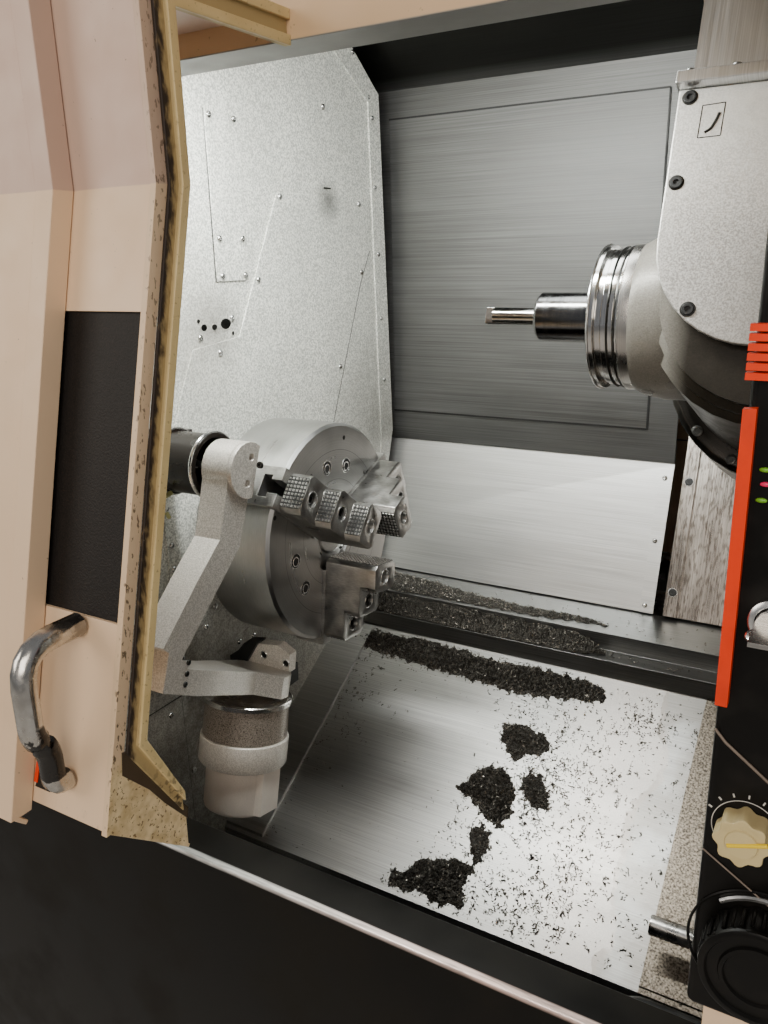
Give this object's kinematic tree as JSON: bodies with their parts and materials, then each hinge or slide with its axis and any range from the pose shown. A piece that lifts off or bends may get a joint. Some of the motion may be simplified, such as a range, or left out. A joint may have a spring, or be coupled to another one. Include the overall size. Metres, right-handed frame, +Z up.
{
  "type": "cnc turning lathe",
  "caption": "Slant-bed turning machine with a jawed chuck, a tilting milling head on a travelling column, a swing-down tool setter, a chip slide and a sliding door.",
  "frame": {"origin": "centre of the footprint, on the floor", "axes": "+X along the spindle to the right as seen by the operator, +Y to the rear, +Z up"},
  "size_m": [2.78, 1.7378, 2.67],
  "materials": {
    "painted_casting_cast_iron": "painted casting",
    "black_paint_painted_metal": "black paint",
    "satin_cream_paint_painted_metal": "satin cream paint",
    "speckled_silver_painted_metal": "speckled silver",
    "brushed_brushed_steel": "brushed",
    "ground_brushed_steel": "ground",
    "dark_brown_painted_metal": "dark brown",
    "bead_blasted_aluminium": "bead blasted",
    "polished_chrome": "polished",
    "matte_black_rubber": "matte black",
    "matte_black_matte_plastic": "matte black",
    "orange_matte_plastic": "orange",
    "dark_glazing_gloss_plastic": "dark glazing",
    "yellowed_stained_paint_painted_metal": "yellowed stained paint",
    "dark_oiled_brushed_steel": "dark oiled",
    "dark_brushed_brushed_steel": "dark brushed",
    "grey_painted_casting_cast_iron": "grey painted casting",
    "cream_matte_plastic": "cream",
    "red_gloss_plastic": "red"
  },
  "bodies": {
    "machine": {"bed_casting": "painted_casting_cast_iron", "front_skirt": "black_paint_painted_metal", "left_casing": "satin_cream_paint_painted_metal", "front_left_panel": "satin_cream_paint_painted_metal", "right_casing": "satin_cream_paint_painted_metal", "roof_cover": "satin_cream_paint_painted_metal", "top_beam": "satin_cream_paint_painted_metal", "headstock_wall": "speckled_silver_painted_metal", "small_wall_plate": "speckled_silver_painted_metal", "big_wall_plate": "speckled_silver_painted_metal", "headstock_housing": "painted_casting_cast_iron", "chip_slide": "brushed_brushed_steel", "rear_ledge": "brushed_brushed_steel", "chip_trough": "black_paint_painted_metal", "right_inner_wall": "brushed_brushed_steel", "front_guideway": "ground_brushed_steel", "rear_guideway": "ground_brushed_steel", "ball_screw": "ground_brushed_steel", "setter_tube": "dark_brown_painted_metal", "setter_hub": "bead_blasted_aluminium", "coolant_pipe": "polished_chrome", "coolant_hose": "matte_black_rubber", "pendant_housing": "matte_black_matte_plastic", "pendant_trim": "orange_matte_plastic", "pendant_screen": "dark_glazing_gloss_plastic"},
    "door": {"door_panel": "satin_cream_paint_painted_metal", "door_frame": "yellowed_stained_paint_painted_metal", "door_window": "dark_glazing_gloss_plastic", "door_handle": "polished_chrome"},
    "spindle": {"chuck_body": "ground_brushed_steel", "spindle_shaft": "ground_brushed_steel", "chuck_cap": "dark_oiled_brushed_steel", "chuck_cylinder": "painted_casting_cast_iron"},
    "jaw_1": {"master_jaw_1": "dark_oiled_brushed_steel", "top_jaw_1": "ground_brushed_steel"},
    "jaw_2": {"master_jaw_2": "dark_oiled_brushed_steel", "top_jaw_2": "ground_brushed_steel"},
    "jaw_3": {"master_jaw_3": "dark_oiled_brushed_steel", "top_jaw_3": "ground_brushed_steel"},
    "setter": {"setter_arm": "bead_blasted_aluminium", "sensor_head": "bead_blasted_aluminium", "setter_stylus": "dark_oiled_brushed_steel"},
    "carriage": {"column_casting": "painted_casting_cast_iron", "column_front_cover": "brushed_brushed_steel", "rear_wall_sheet": "dark_brushed_brushed_steel", "rear_lower_cover": "brushed_brushed_steel", "right_rear_cover": "dark_brushed_brushed_steel"},
    "saddle": {"ram_saddle": "grey_painted_casting_cast_iron"},
    "ram": {"ram_tower": "grey_painted_casting_cast_iron", "head_front_cover": "ground_brushed_steel", "ram_cap": "grey_painted_casting_cast_iron", "b_axis_ring": "dark_oiled_brushed_steel"},
    "head": {"swivel_head": "grey_painted_casting_cast_iron", "spindle_collar": "polished_chrome"},
    "milling_spindle": {"tool_holder": "dark_oiled_brushed_steel", "boring_bar": "polished_chrome"},
    "dial": {"override_dial": "cream_matte_plastic"},
    "wheel": {"handwheel": "matte_black_matte_plastic"},
    "key": {"key_switch": "polished_chrome"},
    "stop_button": {"emergency_stop": "red_gloss_plastic"}
  },
  "joints": [
    {"name": "door_slide", "type": "slide", "parent": "machine", "child": "door", "axis": [1, 0, 0], "range_m": [0, 0.4]},
    {"name": "chuck_spin", "type": "hinge", "parent": "machine", "child": "spindle", "pos_m": [-0.16, -0.2811, 1.25], "axis": [1, 0, 0], "continuous": true},
    {"name": "jaw_1_slide", "type": "slide", "parent": "spindle", "child": "jaw_1", "axis": [0, -0.1305, -0.9914], "range_m": [-0.004, 0.004]},
    {"name": "jaw_2_slide", "type": "slide", "parent": "spindle", "child": "jaw_2", "axis": [0, 0.9239, 0.3827], "range_m": [-0.004, 0.004]},
    {"name": "jaw_3_slide", "type": "slide", "parent": "spindle", "child": "jaw_3", "axis": [0, -0.7934, 0.6088], "range_m": [-0.004, 0.004]},
    {"name": "setter_swing", "type": "hinge", "parent": "machine", "child": "setter", "pos_m": [-0.235, -0.4031, 1.035], "axis": [0, 0.342, 0.9397], "range_deg": [0, 90]},
    {"name": "carriage_slide", "type": "slide", "parent": "machine", "child": "carriage", "axis": [1, 0, 0], "range_m": [-0.3, 0.18]},
    {"name": "saddle_slide", "type": "slide", "parent": "carriage", "child": "saddle", "axis": [0, -0.9397, 0.342], "range_m": [-0.08, 0.08]},
    {"name": "ram_slide", "type": "slide", "parent": "saddle", "child": "ram", "axis": [0, -0.342, -0.9397], "range_m": [-0.05, 0.25]},
    {"name": "head_tilt", "type": "hinge", "parent": "ram", "child": "head", "pos_m": [0.382, -0.2811, 1.548], "axis": [0, 0.9397, -0.342], "range_deg": [-205, 25]},
    {"name": "milling_spin", "type": "hinge", "parent": "head", "child": "milling_spindle", "pos_m": [0.382, -0.2811, 1.548], "axis": [1, 0, 0], "continuous": true},
    {"name": "dial_turn", "type": "hinge", "parent": "machine", "child": "dial", "pos_m": [0.434, -0.7814, 1.317], "axis": [0, -1, 0], "range_deg": [-130, 130]},
    {"name": "wheel_turn", "type": "hinge", "parent": "machine", "child": "wheel", "pos_m": [0.4495, -0.7814, 1.242], "axis": [0, -1, 0], "continuous": true},
    {"name": "key_turn", "type": "hinge", "parent": "machine", "child": "key", "pos_m": [0.4355, -0.7814, 1.438], "axis": [0, -1, 0], "range_deg": [0, 90]},
    {"name": "stop_press", "type": "slide", "parent": "machine", "child": "stop_button", "axis": [0, 1, 0], "range_m": [0, 0.005], "stiffness_N_per_m": 500}
  ],
  "couplings": [
    {"joint": "jaw_2_slide", "follows": "jaw_1_slide", "ratio": 1},
    {"joint": "jaw_3_slide", "follows": "jaw_1_slide", "ratio": 1}
  ]
}
